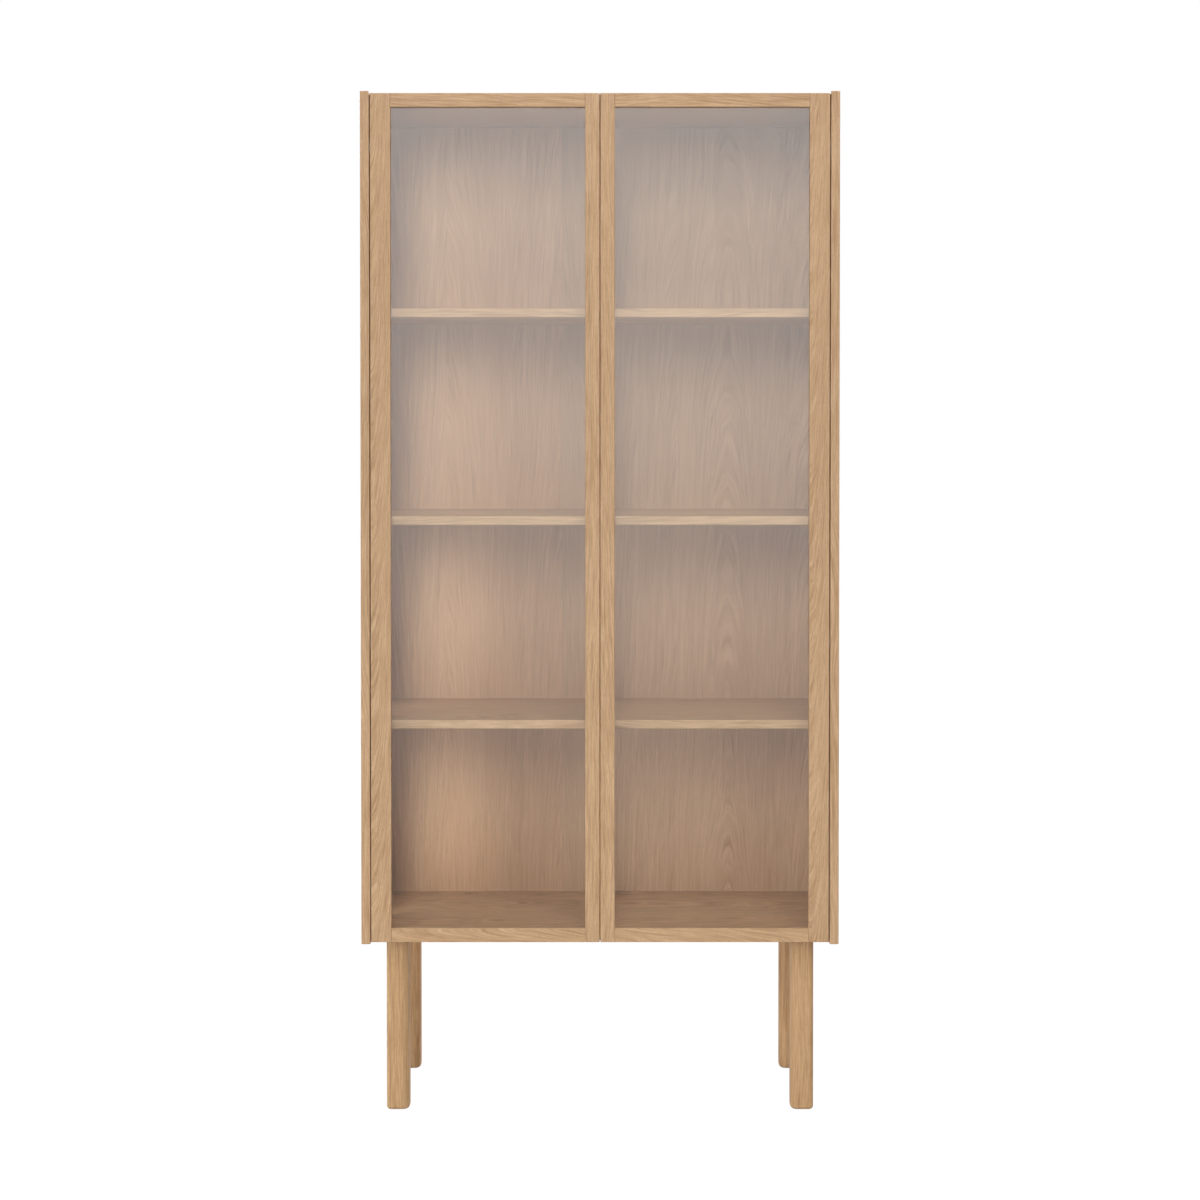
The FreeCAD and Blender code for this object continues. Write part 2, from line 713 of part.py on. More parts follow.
def keep_pair(left, name):
    keep(left, name + "_left")
    keep(mirror(name + "_right", left), name + "_right")


def make_stile(name, outer, opening, rebate):
    """Upright of the frame: a full-width front lip with the rebate behind it."""
    body = new_body(name)
    outline = [(outer, "front"), (opening, "front"), (opening, "glass_front"), (rebate, "glass_front"),
               (rebate, "door_rear"), (outer, "door_rear")]
    feature = pad(body, name + "_pad", "XY_Plane", "door_bottom", "door_top - door_bottom", outline)
    ease(body, feature, "edge_radius", edges_on(feature, "YMin"))
    return body


def make_rail(name, low, high, rebate):
    """Cross piece: a lip between the stiles and a longer rear part that butts in their rebates."""
    body = new_body(name)
    lip = [("front", low), ("glass_front", low), ("glass_front", high), ("front", high)]
    feature = pad(body, name + "_lip", "YZ_Plane", "opening_left", "opening_right - opening_left", lip)
    feature = ease(body, feature, "edge_radius", edges_on(feature, "YMin", along="X"))
    outside = low if rebate == "rebate_low" else high
    core = [("glass_front", outside), ("door_rear", outside), ("door_rear", rebate), ("glass_front", rebate)]
    pad(body, name + "_core", "YZ_Plane", "rebate_left", "rebate_right - rebate_left", core)
    return body


def make_frame():
    dowel_span = "2 * frame_dowel_depth"
    hole = rod("frame_dowel_hole", "x", "frame_dowel_diameter + 2 * fit_clearance", dowel_span,
               ("-frame_dowel_depth", "0", "0"))
    dowel_holes = copies("frame_dowel_holes", hole, frame_dowel_spots())
    mortises = copies("hinge_mortises", make_mortise(), hinge_spots())
    leaf_hole = turned(screw_hole("stile_screw_hole", "leaf_screw_length"), "y")
    leaf_holes = copies("stile_screw_holes", leaf_hole, leaf_screw_spots())
    strike_face = "door_rear - strike_thickness"
    strike_hole = rod("strike_hole", "y", "strike_diameter + 2 * fit_clearance",
                      f"strike_thickness + {OVERRUN}", ("latch_x", strike_face, "roof_middle"))
    hinge_stile = make_stile("hinge_stile_blank", "door_outer", "opening_left", "rebate_left")
    keep_pair(cut("hinge_stile_left", hinge_stile, [dowel_holes, mortises, leaf_holes]), "hinge_stile")
    meeting_stile = make_stile("meeting_stile_blank", "door_inner", "opening_right", "rebate_right")
    keep_pair(cut("meeting_stile_left", meeting_stile, [dowel_holes, strike_hole]), "meeting_stile")
    top_rail = make_rail("top_rail_blank", "opening_high", "door_top", "rebate_high")
    keep_pair(cut("top_rail_left", top_rail, [dowel_holes]), "top_rail")
    bottom_rail = make_rail("bottom_rail_blank", "door_bottom", "opening_low", "rebate_low")
    keep_pair(cut("bottom_rail_left", bottom_rail, [dowel_holes]), "bottom_rail")
    dowel = rod("frame_dowel", "x", "frame_dowel_diameter", f"{dowel_span} - 2 * stop_gap",
                ("stop_gap - frame_dowel_depth", "0", "0"))
    keep_pair(copies("frame_dowels_left", dowel, frame_dowel_spots()), "frame_dowels")


def bead_outline(rebate, opening, sign):
    """Section of a glazing bead: square against rebate and glass, with its inner rear edge taken off."""
    return [(rebate, "glass_rear"), (opening, "glass_rear"), (opening, "door_rear - bead_chamfer"),
            (f"{opening} {sign} bead_chamfer", "door_rear"), (rebate, "door_rear")]


def make_glazing():
    pane = box("glass_left", ("rebate_left + glass_gap", "rebate_right - glass_gap"),
               ("glass_front", "glass_rear"), ("rebate_low + glass_gap", "rebate_high - glass_gap"))
    keep_pair(pane, "glass_pane")
    uprights = (("bead_hinge_side", "rebate_left", "opening_left", "-"),
                ("bead_meeting_side", "rebate_right", "opening_right", "+"))
    for name, rebate, opening, sign in uprights:
        body = new_body(name + "_left")
        pad(body, name + "_pad", "XY_Plane", "rebate_low", "rebate_high - rebate_low",
            bead_outline(rebate, opening, sign))
        keep_pair(body, name)
    crosses = (("bead_bottom", "rebate_low", "opening_low", "-"),
               ("bead_top", "rebate_high", "opening_high", "+"))
    for name, rebate, opening, sign in crosses:
        body = new_body(name + "_left")
        section = [(depth, height) for height, depth in bead_outline(rebate, opening, sign)]
        pad(body, name + "_pad", "YZ_Plane", "opening_left", "opening_right - opening_left", section)
        keep_pair(body, name)


# Latches


def make_latches():
    housing = rod("latch_barrel", "y", "latch_diameter", "latch_length",
                  ("latch_x", "board_front", "roof_middle"))
    bore_length = f"latch_length - latch_end_wall + {OVERRUN}"
    bore = rod("latch_bore", "y", "plunger_diameter + 2 * fit_clearance", bore_length,
               ("latch_x", f"board_front - {OVERRUN}", "roof_middle"))
    keep_pair(cut("latch_housing_left", housing, [bore]), "latch_housing")
    rim = "plunger_diameter / 2"
    plunger = turned(revolve("latch_plunger_left", [
        ("0", "0"), (f"{rim} - plunger_tip_radius", "0"), (rim, "plunger_tip_radius"),
        (rim, "plunger_length"), ("0", "plunger_length")]), "y")
    place(plunger, ("latch_x", "plunger_tip", "roof_middle"))
    keep_pair(plunger, "latch_plunger")
    strike = rod("strike_plate_left", "y", "strike_diameter", "strike_thickness",
                 ("latch_x", "door_rear - strike_thickness", "roof_middle"))
    keep_pair(strike, "strike_plate")
    thickness = "door_back_gap - stop_gap"
    bumper = rod("door_bumper", "y", "bumper_diameter", thickness, ("0", f"-({thickness})", "0"))
    keep(copies("door_bumpers", bumper, bumper_spots()), "door_bumpers")


def check_model():
    """Stop before anything is written if any object failed or any sub-part isn't sound."""
    doc.recompute()
    for thing in doc.Objects:
        if "Invalid" in thing.State or "Error" in thing.State:
            raise RuntimeError(f"{thing.Label} failed: {thing.State}")
    for thing in nodes:
        shape = thing.Shape
        if shape.isNull() or not shape.isValid() or not shape.Solids:
            raise RuntimeError(f"{thing.Label} has no sound solid")


def write_parts():
    os.makedirs("parts", exist_ok=True)
    for thing in nodes:
        thing.Shape.exportStep(f"parts/{thing.Label}.step")
        print(thing.Label, len(thing.Shape.Solids), "solids")


fill_sheets()
make_sides()
make_floor_and_roof()
make_back()
make_carcass_dowels()
make_shelves()
make_legs()
make_leg_hardware()
make_hinges()
make_frame()
make_glazing()
make_latches()
check_model()
write_parts()
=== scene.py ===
import math

import bpy
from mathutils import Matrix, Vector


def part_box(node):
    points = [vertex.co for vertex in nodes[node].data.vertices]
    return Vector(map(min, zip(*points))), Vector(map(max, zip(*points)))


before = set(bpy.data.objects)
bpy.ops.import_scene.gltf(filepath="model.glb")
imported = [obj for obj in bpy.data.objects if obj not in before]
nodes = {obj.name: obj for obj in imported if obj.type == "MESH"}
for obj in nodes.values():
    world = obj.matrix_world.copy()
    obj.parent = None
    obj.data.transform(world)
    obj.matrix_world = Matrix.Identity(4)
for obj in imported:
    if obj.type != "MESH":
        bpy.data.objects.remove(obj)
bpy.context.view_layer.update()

MM = 0.001


class Wire:
    """An output socket of a finish; arithmetic on it adds Math nodes."""

    def __init__(self, finish, socket):
        self.finish = finish
        self.socket = socket

    def calc(self, operation, *values):
        inputs = dict(enumerate(values))
        return self.finish.node("ShaderNodeMath", {"operation": operation}, inputs)

    def __add__(self, other):
        return self.calc("ADD", self, other)

    def __radd__(self, other):
        return self.calc("ADD", other, self)

    def __sub__(self, other):
        return self.calc("SUBTRACT", self, other)

    def __rsub__(self, other):
        return self.calc("SUBTRACT", other, self)

    def __mul__(self, other):
        return self.calc("MULTIPLY", self, other)

    def __rmul__(self, other):
        return self.calc("MULTIPLY", other, self)

    def __truediv__(self, other):
        return self.calc("DIVIDE", self, other)

    def __pow__(self, other):
        return self.calc("POWER", self, other)

    def __abs__(self):
        return self.calc("ABSOLUTE", self)

    def __floor__(self):
        return self.calc("FLOOR", self)

    def at_least(self, other):
        return self.calc("MAXIMUM", self, other)

    def at_most(self, other):
        return self.calc("MINIMUM", self, other)


class Finish:
    """A node tree under construction, of a material or of the world."""

    def __init__(self, tree):
        self.tree = tree
        tree.nodes.clear()

    def node(self, kind, settings=None, inputs=None, output=0):
        """Adds one node: its settings first, then the values or links of its sockets."""
        made = self.tree.nodes.new(kind)
        for key, value in (settings or {}).items():
            setattr(made, key, value)
        for key, value in (inputs or {}).items():
            if isinstance(value, Wire):
                self.tree.links.new(value.socket, made.inputs[key])
            else:
                made.inputs[key].default_value = value
        return Wire(self, made.outputs[output]) if made.outputs else None

    def place(self):
        """Where a point is on the object, in metres."""
        return self.node("ShaderNodeTexCoord", None, None, "Object")

    def vector(self, operation, first, second):
        return self.node("ShaderNodeVectorMath", {"operation": operation}, {0: first, 1: second})

    def axes(self, vector):
        """The three parts of a vector or a colour, a wire for each."""
        split = self.node("ShaderNodeSeparateXYZ", None, {0: vector})
        return [Wire(self, output) for output in split.socket.node.outputs]

    def rays(self, *kinds):
        """A wire for each kind of ray, which is 1 for such rays and 0 for others."""
        path = self.node("ShaderNodeLightPath")
        return [Wire(self, path.socket.node.outputs["Is %s Ray" % kind]) for kind in kinds]

    def noise(self, place, sizes, detail):
        """Noise from 0 to 1 whose blobs are about as large as sizes, in mm."""
        spot = self.vector("DIVIDE", place, [size * MM for size in sizes])
        return self.node("ShaderNodeTexNoise", None, {"Vector": spot, "Scale": 1.0, "Detail": detail})

    def step(self, value, low, high):
        """A smooth step from 0 at low to 1 at high."""
        return self.node(
            "ShaderNodeMapRange", {"interpolation_type": "SMOOTHSTEP"},
            {"Value": value, "From Min": low, "From Max": high},
        )

    def blend(self, factor, first, second, how="MIX", clamp=True):
        """A colour mix; the colour sockets of the Mix node are 6 and 7, and its colour output is 2."""
        settings = {"data_type": "RGBA", "blend_type": how, "clamp_factor": clamp}
        return self.node("ShaderNodeMix", settings, {0: factor, 6: first, 7: second}, 2)

    def bump(self, height, strength, depth):
        """A normal for relief that is depth mm deep."""
        inputs = {"Strength": strength, "Distance": depth * MM, "Height": height}
        return self.node("ShaderNodeBump", None, inputs)

    def surface(self, **sockets):
        """A Principled surface; an underscore in a name stands for a blank."""
        inputs = {name.replace("_", " "): value for name, value in sockets.items()}
        return self.node("ShaderNodeBsdfPrincipled", None, inputs)

    def output(self, shader):
        self.node("ShaderNodeOutputMaterial", None, {"Surface": shader})


def new_finish(name):
    material = bpy.data.materials.new(name)
    material.use_nodes = True
    return material, Finish(material.node_tree)


def rgb(red, green, blue):
    return (red, green, blue, 1.0)


# Colours of the oiled oak, and what the glued strips are multiplied by.
OAK_PALE = (0.585, 0.383, 0.222)
OAK_LATE = (0.435, 0.262, 0.137)
OAK_PORE = (0.315, 0.172, 0.078)
OAK_FLECK = (0.620, 0.420, 0.250)
OAK_SEAM = (0.30, 0.13, 0.07)
STAVE_DULL = (0.90, 0.88, 0.87)
STAVE_ROSE = (1.03, 0.985, 0.96)

# How pale a board is, as shares of red, green and blue; some of these are painted light.
USUAL_SHADE = (1.0, 1.0, 1.0)
# Painted light: the shelves and bottom panel are made paler, standing in for light that reaches inside the
# cabinet.
INSIDE_PAINTED_LIGHT = (1.10, 1.10, 1.05)
LEG_SHADE = (1.00, 0.97, 0.88)
# Painted light: the rear left leg is made paler, standing in for light where the front left leg shadows it.
REAR_LEFT_LEG_PAINTED_LIGHT = (1.12, 1.08, 0.96)
# Painted light: the back panel is made paler and bluer, standing in for light that reaches inside the
# cabinet.
BACK_PAINTED_LIGHT = (1.17, 1.22, 1.31)

# Sizes in mm of what shows in the wood: across, through and along the board.
SWAY = (160, 160, 420)
BEND = (70, 70, 260)
RIPPLE = (14, 14, 90)
CLOUD = (60, 60, 380)
DASH = (0.45, 0.45, 9)
FLECK = (1.6, 1.6, 24)

# The same for the growth of a few years, of one year and of its hair lines, but the first size is in rings.
BAND = (5.2, 400, 520)
LINE = (1.0, 60, 100)
HAIR = (0.5, 20, 38)

# How far the heart wanders, as shares of drift, and how high the ripples of the rings are, in mm.
SWAY_DRIFT = 2.0
BEND_DRIFT = 0.3
RIPPLE_HEIGHT = 2.2

# How far the heart jumps from one glued strip to the next, across and through, in widths of a strip.
STAVE_JUMP = 2.2
STAVE_DEPTH_JUMP = 0.5

# What keeps the boards and the strips of a board from having the same figure.
BOARD_STEP = 2.39
STAVE_STEP = 7.31
STAVE_SLIDE = 3.0

# How dark the wood is: 0 is pale and 1 is late wood.
USUAL_DARK = 0.42
PALEST = -0.3
LINE_DARK = 2.7
HAIR_DARK = 2.2
BAND_DARK = 0.7
CLOUD_DARK = 0.6

# Where pores, flecks and rosy strips begin and are full, and how much of their colour shows.
PORE_STEP = (0.09, 0.20)
PORE_SHARE = 0.50
FLECK_STEP = (0.15, 0.28)
FLECK_SHARE = 0.30
ROSE_STEP = (0.55, 0.95)

# How much rarer pores are in the dark lines, and how much duller than others a glued strip may be.
PORE_LOSS = 0.25
STAVE_SHARE = 0.5

# The seam where a rail meets its stile: its width in mm, and how much of its colour shows.
SEAM_WIDTH = 1.0
SEAM_SHARE = 0.35

# The oak's gloss and relief.
OAK_ROUGH = 0.36
HAIR_ROUGH = 0.14
PORE_ROUGH = 0.16
HAIR_RELIEF = 0.5
LINE_RELIEF = 0.3
OAK_BUMP = 0.16
OAK_BUMP_DEPTH = 0.25
OAK_SPECULAR = 0.35


def oak(piece, cut, heart, lean=0.02, drift=30.0, ring=2.1, figure=1.0, stave=None, joint=None,
        shade=USUAL_SHADE, seed=0.0):
    """Oiled oak, sawn from a log whose heart line lies off the board.

    cut names the board's axes in order: along the grain, across the face and through the thickness.
    heart is the way in mm from the board's middle to the heart, across and through.
    lean is how fast the heart dips along the board, and drift how far it wanders, in mm.
    ring is half the width of a year's growth, in mm, and figure how strongly the growth shows.
    stave is the width in mm of the glued strips, of a board that has them.
    joint is how far in from each end, in mm, a rail meets its stile and shows a seam.
    shade is how pale the board is, which for some boards is painted light, and seed gives it a figure of its
    own.
    """
    material, wood = new_finish("oak_" + piece)
    order = ["XYZ".index(letter) for letter in cut]
    low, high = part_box(piece)
    middle = [(a + b) / 2 for a, b in zip(low, high)]
    local = wood.axes(wood.vector("SUBTRACT", wood.place(), middle))
    length, across, through = [local[number] for number in order]

    tint = None
    across = across - heart[0] * MM
    through = through - heart[1] * MM
    if stave:
        width = stave * MM
        strip = math.floor(across / width)
        chance = wood.node(
            "ShaderNodeTexWhiteNoise", {"noise_dimensions": "1D"},
            {"W": strip + seed * STAVE_STEP}, "Color",
        )
        tint, shift, slide = wood.axes(chance)
        across = across - (strip + 0.5) * width + (shift - 0.5) * (STAVE_JUMP * width)
        through = through + (tint - 0.5) * (STAVE_DEPTH_JUMP * width)
        seed = slide * STAVE_SLIDE + seed
    along = length + seed * BOARD_STEP

    def noise(sizes, detail=1.0, first=across):
        """Noise over the board, around 0, with blobs of these sizes in mm along the three wires."""
        scaled = [wire / (size * MM) for wire, size in zip((first, through, along), sizes)]
        spot = wood.node("ShaderNodeCombineXYZ", None, dict(enumerate(scaled)))
        return wood.node("ShaderNodeTexNoise", None, {"Vector": spot, "Scale": 1.0, "Detail": detail}) - 0.5

    side = across + noise(BEND) * (BEND_DRIFT * drift * MM)
    back = through + length * lean + noise(SWAY) * (SWAY_DRIFT * drift * MM)
    reach = (side * side + back * back) ** 0.5 + noise(RIPPLE, detail=2.0) * (RIPPLE_HEIGHT * MM)

    def growth(rings, *sizes):
        """Noise that follows the years of growth, outwards from the heart."""
        return noise((rings * ring, *sizes), first=reach)

    band = growth(*BAND)
    line = growth(*LINE)
    hair = growth(*HAIR)
    cloud = noise(CLOUD, detail=2.0)
    pore = wood.step(noise(DASH) - PORE_LOSS * line, *PORE_STEP)
    fleck = wood.step(noise(FLECK), *FLECK_STEP)

    def tone(colour):
        return rgb(*[part * pale for part, pale in zip(colour, shade)])

    grown = LINE_DARK * line + HAIR_DARK * hair + BAND_DARK * band
    dark = USUAL_DARK + figure * grown + CLOUD_DARK * cloud
    colour = wood.blend(dark.at_least(PALEST), tone(OAK_PALE), tone(OAK_LATE), clamp=False)
    colour = wood.blend(FLECK_SHARE * fleck, colour, tone(OAK_FLECK))
    colour = wood.blend(PORE_SHARE * pore, colour, tone(OAK_PORE))
    if tint:
        colour = wood.blend(STAVE_SHARE * tint, colour, rgb(*STAVE_DULL), "MULTIPLY")
        colour = wood.blend(wood.step(slide, *ROSE_STEP), colour, rgb(*STAVE_ROSE), "MULTIPLY")
    if joint:
        shoulder = (high[order[0]] - low[order[0]]) / 2 - joint * MM
        seam = wood.step(abs(length), shoulder - SEAM_WIDTH * MM, shoulder)
        colour = wood.blend(SEAM_SHARE * seam, colour, rgb(*OAK_SEAM))
    rough = OAK_ROUGH + HAIR_ROUGH * hair + PORE_ROUGH * pore
    relief = HAIR_RELIEF * hair - pore - LINE_RELIEF * line
    normal = wood.bump(relief, OAK_BUMP, OAK_BUMP_DEPTH)
    shader = wood.surface(
        Base_Color=colour, Roughness=rough, Normal=normal, Specular_IOR_Level=OAK_SPECULAR,
    )
    wood.output(shader)
    return material


BEECH_PALE = (0.60, 0.40, 0.25)
BEECH_DARK = (0.50, 0.31, 0.18)
BEECH_FLECK = (0.34, 0.18, 0.09)
BEECH_FLECK_SIZES = (2.5, 0.5, 0.5)
BEECH_FLECK_STEP = (0.58, 0.70)
BEECH_FLECK_SHARE = 0.6
BEECH_CLOUD_SIZES = (30, 6, 6)
BEECH_ROUGH = 0.55
BEECH_FLECK_ROUGH = 0.12


def beech_dowel():
    """Turned beech: pinkish, with short dark flecks."""
    material, beech = new_finish("beech_dowels")
    place = beech.place()
    flecks = beech.noise(place, BEECH_FLECK_SIZES, detail=2.0)
    cloud = beech.noise(place, BEECH_CLOUD_SIZES, detail=2.0)
    shown = BEECH_FLECK_SHARE * beech.step(flecks, *BEECH_FLECK_STEP)
    colour = beech.blend(cloud, rgb(*BEECH_PALE), rgb(*BEECH_DARK))
    colour = beech.blend(shown, colour, rgb(*BEECH_FLECK))
    rough = BEECH_ROUGH + BEECH_FLECK_ROUGH * (flecks - 0.5)
    beech.output(beech.surface(Base_Color=colour, Roughness=rough))
    return material


GLASS_TINT = (0.985, 0.995, 0.99)
GLASS_SHADE = (0.955, 0.96, 0.957)
GLASS_IOR = 1.5


def clear_glass():
    """Clear sheet glass, which lets the lamps' light through to the shelves."""
    material, glass = new_finish("clear_glass_pane")
    shadow, diffuse = glass.rays("Shadow", "Diffuse")
    pane = glass.surface(Base_Color=rgb(*GLASS_TINT), Roughness=0.0, IOR=GLASS_IOR, Transmission_Weight=1.0)
    through = glass.node("ShaderNodeBsdfTransparent", None, {"Color": rgb(*GLASS_SHADE)})
    glass.output(glass.node("ShaderNodeMixShader", None, {0: shadow + diffuse, 1: pane, 2: through}))
    return material


STEEL_PATCH_SIZES = (14, 14, 14)
STEEL_PATCH_SHARE = 0.7
STEEL_BRUSH_SHARE = 0.3
STEEL_PATCH_ROUGH = 0.16
STEEL_BRUSH_ROUGH = 0.18
STEEL_BUMP = 0.10
STEEL_BUMP_DEPTH = 0.1


def metal(name, colour, dull, rough, brushed):
    """Bare or plated steel with dull patches and fine brushing; brushed is the marks' size in mm, by axis."""
    material, steel = new_finish(name)
    place = steel.place()
    brush = steel.noise(place, brushed, detail=3.0)
    patch = steel.noise(place, STEEL_PATCH_SIZES, detail=3.0)
    tint = steel.blend(STEEL_PATCH_SHARE * patch + STEEL_BRUSH_SHARE * brush, rgb(*colour), rgb(*dull))
    roughness = rough + STEEL_BRUSH_ROUGH * (brush - 0.5) + STEEL_PATCH_ROUGH * (patch - 0.5)
    normal = steel.bump(brush, STEEL_BUMP, STEEL_BUMP_DEPTH)
    steel.output(steel.surface(Base_Color=tint, Metallic=1.0, Roughness=roughness, Normal=normal))
    return material


SPARK_SIZES = (0.35, 0.35, 0.35)
SPARK_ROUGH = 0.15
SPARK_BUMP = 0.12
SPARK_BUMP_DEPTH = 0.08
RUB_SIZES = (5, 5, 5)
RUB_STEP = (0.40, 0.75)
RUB_ROUGH = 0.12


def moulded(name, colour, scuffed, rough, alpha=1.0):
    """Moulded plastic or rubber with a fine spark texture and rubbed patches."""
    material, plastic = new_finish(name)
    place = plastic.place()
    spark = plastic.noise(place, SPARK_SIZES, detail=2.0)
    rub = plastic.noise(place, RUB_SIZES, detail=3.0)
    tint = plastic.blend(plastic.step(rub, *RUB_STEP), rgb(*colour), rgb(*scuffed))
    roughness = rough + SPARK_ROUGH * (spark - 0.5) + RUB_ROUGH * (rub - 0.5)
    normal = plastic.bump(spark, SPARK_BUMP, SPARK_BUMP_DEPTH)
    plastic.output(plastic.surface(Base_Color=tint, Roughness=roughness, Normal=normal, Alpha=alpha))
    return material


def dress(node, material):
    for slot in nodes[node].material_slots:
        slot.material = material


# What the boards of a kind have in common.
SIDE_PANEL = {"stave": 96.0}
TOP_PANEL = {"stave": 92.0}
# Painted light: the shelves are made paler, standing in for light inside the cabinet.
SHELF = {"stave": 92.0, "shade": INSIDE_PAINTED_LIGHT}
# Painted light: the back panel is made paler, standing in for light inside the cabinet.
BACK_PANEL = {"lean": -0.05, "drift": 11.0, "ring": 1.1, "figure": 0.65, "stave": 78.0, "shade": BACK_PAINTED_LIGHT}
HINGE_STILE = {"lean": 0.034, "drift": 4.0, "ring": 0.6, "figure": 1.1}
TOP_RAIL = {"drift": 20.0, "joint": 6.0}
BOTTOM_RAIL = {"lean": 0.04, "drift": 14.0, "ring": 0.6, "joint": 6.0}
LEG = {"drift": 15.0, "shade": LEG_SHADE}

# Each board's cut, the place of its log's heart, and what differs from the usual. Its row gives its seed.
BOARDS = {
    "side_panel_left": ("ZYX", (30, 45), SIDE_PANEL),
    "side_panel_right": ("ZYX", (-25, -45), SIDE_PANEL),
    "hinge_stile_left": ("ZXY", (-20, 50), HINGE_STILE),
    "hinge_stile_right": ("ZXY", (-20, 50), HINGE_STILE),
    "meeting_stile_left": ("ZXY", (-90, 60), {"lean": 0.01}),
    "meeting_stile_right": ("ZXY", (80, 50), {}),
    "leg_front_left": ("ZXY", (60, 35), LEG),
    "leg_front_right": ("ZXY", (-55, 40), LEG),
    # Painted light: the rear left leg is painted paler than the other legs.
    "leg_rear_left": ("ZXY", (45, -60), {**LEG, "shade": REAR_LEFT_LEG_PAINTED_LIGHT}),
    "leg_rear_right": ("ZXY", (-70, -30), LEG),
    "back_panel": ("ZXY", (0, 75), BACK_PANEL),
    "top_rail_left": ("XZY", (40, 40), TOP_RAIL),
    "top_rail_right": ("XZY", (30, -60), {**TOP_RAIL, "lean": -0.02}),
    "bottom_rail_left": ("XZY", (16, 40), BOTTOM_RAIL),
    "bottom_rail_right": ("XZY", (-14, 40), {**BOTTOM_RAIL, "lean": -0.04}),
    "top_panel": ("XYZ", (40, 60), TOP_PANEL),
    "bottom_panel": ("XYZ", (-60, -70), SHELF),
    "shelf_upper": ("XYZ", (-40, 50), SHELF),
    "shelf_middle": ("XYZ", (60, -50), {**SHELF, "lean": -0.03}),
    "shelf_lower": ("XYZ", (20, -60), {**SHELF, "lean": 0.03}),
}
FIRST_BOARD_SEED = 1.0
BEAD_HEART = (50, 20)
UPRIGHT_BEAD_SEED = 31.0
LEVEL_BEAD_SEED = 33.0


def dress_oak():
    """Each board is sawn on its own; the beads of a door come from two lengths, upright and level."""
    for row, (board, (cut, heart, kind)) in enumerate(BOARDS.items()):
        dress(board, oak(board, cut, heart, seed=FIRST_BOARD_SEED + row, **kind))
    for hand in ("left", "right"):
        upright = oak("bead_hinge_side_" + hand, "ZXY", BEAD_HEART, seed=UPRIGHT_BEAD_SEED)
        level = oak("bead_bottom_" + hand, "XZY", BEAD_HEART, seed=LEVEL_BEAD_SEED)
        for place in ("hinge_side", "meeting_side"):
            dress("bead_%s_%s" % (place, hand), upright)
        for place in ("bottom", "top"):
            dress("bead_%s_%s" % (place, hand), level)


def dress_fittings():
    """What isn't oak gets its finish by the slot that the CAD gave it."""
    finishes = {
        "hinge_steel": metal(
            "hinge_nickel", colour=(0.62, 0.60, 0.57), dull=(0.50, 0.48, 0.45), rough=0.30,
            brushed=(0.3, 0.3, 6),
        ),
        "zinc_steel": metal(
            "zinc_plated_screws", colour=(0.66, 0.67, 0.68), dull=(0.52, 0.53, 0.55), rough=0.36,
            brushed=(0.3, 0.3, 0.3),
        ),
        "pin_steel": metal(
            "shelf_pin_steel", colour=(0.60, 0.59, 0.58), dull=(0.47, 0.46, 0.45), rough=0.30,
            brushed=(2, 0.3, 0.3),
        ),
        "nylon_glide": moulded(
            "nylon_glides", colour=(0.055, 0.052, 0.050), scuffed=(0.095, 0.09, 0.085), rough=0.45,
        ),
        "latch_plastic": moulded(
            "latch_barrels", colour=(0.60, 0.59, 0.56), scuffed=(0.52, 0.51, 0.48), rough=0.38,
        ),
        "clear_bumper": moulded(
            "clear_bumpers", colour=(0.80, 0.80, 0.79), scuffed=(0.70, 0.70, 0.69), rough=0.25, alpha=0.55,
        ),
        "beech_dowel": beech_dowel(),
        "clear_glass": clear_glass(),
    }
    for node in nodes.values():
        for slot in node.material_slots:
            slot.material = finishes.get(slot.material.name, slot.material)


WHITE = (1.0, 1.0, 1.0)
FLOOR_SIZE = 80.0
FLOOR_GREY = (0.66, 0.66, 0.66)
FLOOR_GLOW = 1.1
FLOOR_GLOW_SHARE = 0.90


def lay_floor():
    """A white studio floor, which the camera sees as white with the object's soft shadow on it."""
    bpy.ops.mesh.primitive_plane_add(size=FLOOR_SIZE, location=(0.0, 0.0, 0.0))
    floor = bpy.context.object
    floor.name = "studio_floor"
    material, paint = new_finish("studio_floor_white")
    camera, transmission = paint.rays("Camera", "Transmission")
    lit = paint.node("ShaderNodeBsdfDiffuse", None, {"Color": rgb(*FLOOR_GREY)})
    glow = paint.node("ShaderNodeEmission", None, {"Color": rgb(*WHITE), "Strength": FLOOR_GLOW})
    seen = FLOOR_GLOW_SHARE * (camera + transmission)
    paint.output(paint.node("ShaderNodeMixShader", None, {0: seen, 1: lit, 2: glow}))
    floor.data.materials.append(material)
    floor.visible_glossy = False


# What the glass mirrors, by the ray's slope: a pale floor, a dim strip beyond it and a bright wall.
MIRRORED_FLOOR_EDGE = -0.22
MIRRORED_FLOOR_RISE = 6.0
MIRRORED_FLOOR_PALEST = 0.95
MIRRORED_FLOOR_DIMMEST = 0.12
MIRRORED_WALL_EDGE = -0.206
MIRRORED_WALL_RISE = 20.0
MIRRORED_WALL_BRIGHTEST = 3.7

# What is seen through the glass past the object: white, or brighter where the ray rises.
BEHIND_LEVEL = 1.38
BEHIND_RISE = 12.3
BEHIND_DIMMEST = 1.0
BEHIND_BRIGHTEST = 3.0

# The light all around, which is stronger from the left.
AROUND_LEVEL = 0.28
AROUND_FROM_LEFT = 0.22


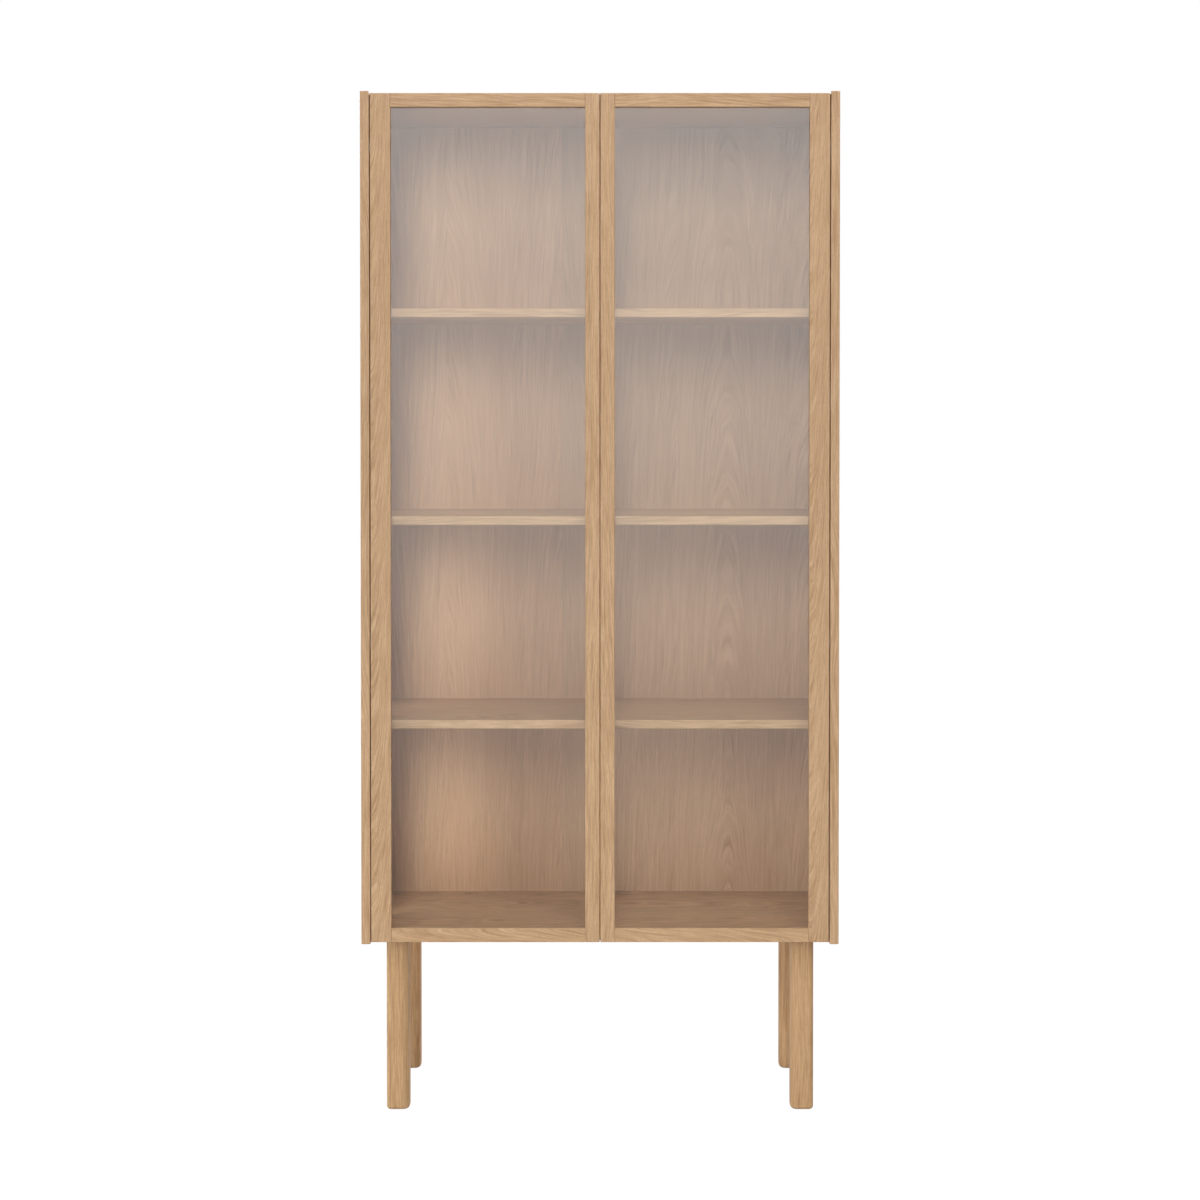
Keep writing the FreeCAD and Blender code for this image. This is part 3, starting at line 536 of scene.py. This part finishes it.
def light_world():
    """The studio around the object: soft light, a white background, and what the glass mirrors."""
    world = bpy.data.worlds.new("studio")
    bpy.context.scene.world = world
    world.use_nodes = True
    sky = Finish(world.node_tree)
    camera, glossy, transmission = sky.rays("Camera", "Glossy", "Transmission")
    right, _, up = sky.axes(sky.node("ShaderNodeTexCoord", None, None, "Generated"))
    ground = (MIRRORED_FLOOR_EDGE - up) * MIRRORED_FLOOR_RISE
    ground = ground.at_most(MIRRORED_FLOOR_PALEST).at_least(MIRRORED_FLOOR_DIMMEST)
    wall = (up - MIRRORED_WALL_EDGE) * MIRRORED_WALL_RISE
    mirrored = wall.at_most(MIRRORED_WALL_BRIGHTEST).at_least(ground)
    behind = BEHIND_LEVEL + BEHIND_RISE * up
    behind = behind.at_least(BEHIND_DIMMEST).at_most(BEHIND_BRIGHTEST)
    around = AROUND_LEVEL - AROUND_FROM_LEFT * right
    level = around + (mirrored - around) * glossy
    level = level + (behind - level) * transmission
    level = level.at_least(camera)
    shader = sky.node("ShaderNodeBackground", None, {"Color": rgb(*WHITE), "Strength": level})
    sky.node("ShaderNodeOutputWorld", None, {"Surface": shader})


def hang_lamp(name, spot, aim, size, power, colour=WHITE, spread=180.0):
    """A soft rectangular lamp that only lights: places and sizes in metres, spread in degrees."""
    data = bpy.data.lights.new(name, "AREA")
    data.shape = "RECTANGLE"
    data.size, data.size_y = size
    data.energy = power
    data.color = colour
    data.spread = math.radians(spread)
    lamp = bpy.data.objects.new(name, data)
    bpy.context.collection.objects.link(lamp)
    lamp.location = spot
    right, away, up = [a - b for a, b in zip(aim, spot)]
    lamp.rotation_euler = (math.atan2(math.hypot(right, away), -up), 0.0, math.atan2(-right, away))
    lamp.visible_camera = False
    lamp.visible_glossy = False
    lamp.visible_transmission = False


# The strip lamps in the left bay, from the top compartment down: the height of its middle, and its power.
BAY_STRIPS = ((1.672, 0.030), (1.276, 0.043), (0.886, 0.066), (0.486, 0.075))
BAY_STRIP_SPOT = (-0.424, -0.05)
BAY_STRIP_AIM = (-0.285, 0.19)
BAY_STRIP_SIZE = (0.015, 0.35)
BAY_STRIP_COLOUR = (1.0, 0.96, 0.91)
BAY_STRIP_SPREAD = 58.0


def light_lamps():
    """Softboxes around the object, and weak strips that light the back panel in the left bay."""
    hang_lamp(
        "front_softbox", spot=(-0.36, -5.8, 3.2), aim=(0.0, 0.0, 1.1), size=(0.9, 2.2), power=102.0,
    )
    hang_lamp(
        "overhead_softbox", spot=(0.8, -4.2, 6.0), aim=(0.0, 0.0, 1.0), size=(2.4, 1.8), power=122.0,
    )
    hang_lamp(
        "low_left_softbox", spot=(-2.4, -2.8, 0.40), aim=(0.1, -0.1, 0.22), size=(1.2, 0.7), power=2.1,
        spread=40.0,
    )
    for bay, (middle, power) in enumerate(BAY_STRIPS):
        hang_lamp(
            "bay_strip_%d" % bay, spot=(*BAY_STRIP_SPOT, middle), aim=(*BAY_STRIP_AIM, middle),
            size=BAY_STRIP_SIZE, power=power, colour=BAY_STRIP_COLOUR, spread=BAY_STRIP_SPREAD,
        )
    hang_lamp(
        "left_softbox", spot=(-4.2, 0.4, 1.1), aim=(0.0, 0.0, 0.8), size=(1.6, 1.6), power=28.0,
    )
    hang_lamp(
        "rear_softbox", spot=(3.0, 4.4, 2.6), aim=(0.0, 0.0, 1.0), size=(2.4, 2.4), power=200.0,
    )


# The camera, fitted to edges measured in the photograph: mm, shares of the frame, metres and degrees.
SENSOR_WIDTH = 36.0
LENS = 70.583
FRAME_SHIFT = -0.1164
CAMERA_SPOT = (0.0, -4.6174, 1.3238)
CAMERA_DIP = 1.114


def set_camera():
    """The photograph's viewpoint, for a 1200 by 1200 picture."""
    data = bpy.data.cameras.new("view")
    data.sensor_width = SENSOR_WIDTH
    data.lens = LENS
    data.shift_y = FRAME_SHIFT
    camera = bpy.data.objects.new("view", data)
    bpy.context.collection.objects.link(camera)
    camera.location = CAMERA_SPOT
    camera.rotation_euler = (math.radians(90.0 - CAMERA_DIP), 0.0, 0.0)
    bpy.context.scene.camera = camera


dress_oak()
dress_fittings()
lay_floor()
light_world()
light_lamps()
set_camera()
bpy.context.scene.view_settings.view_transform = "Standard"
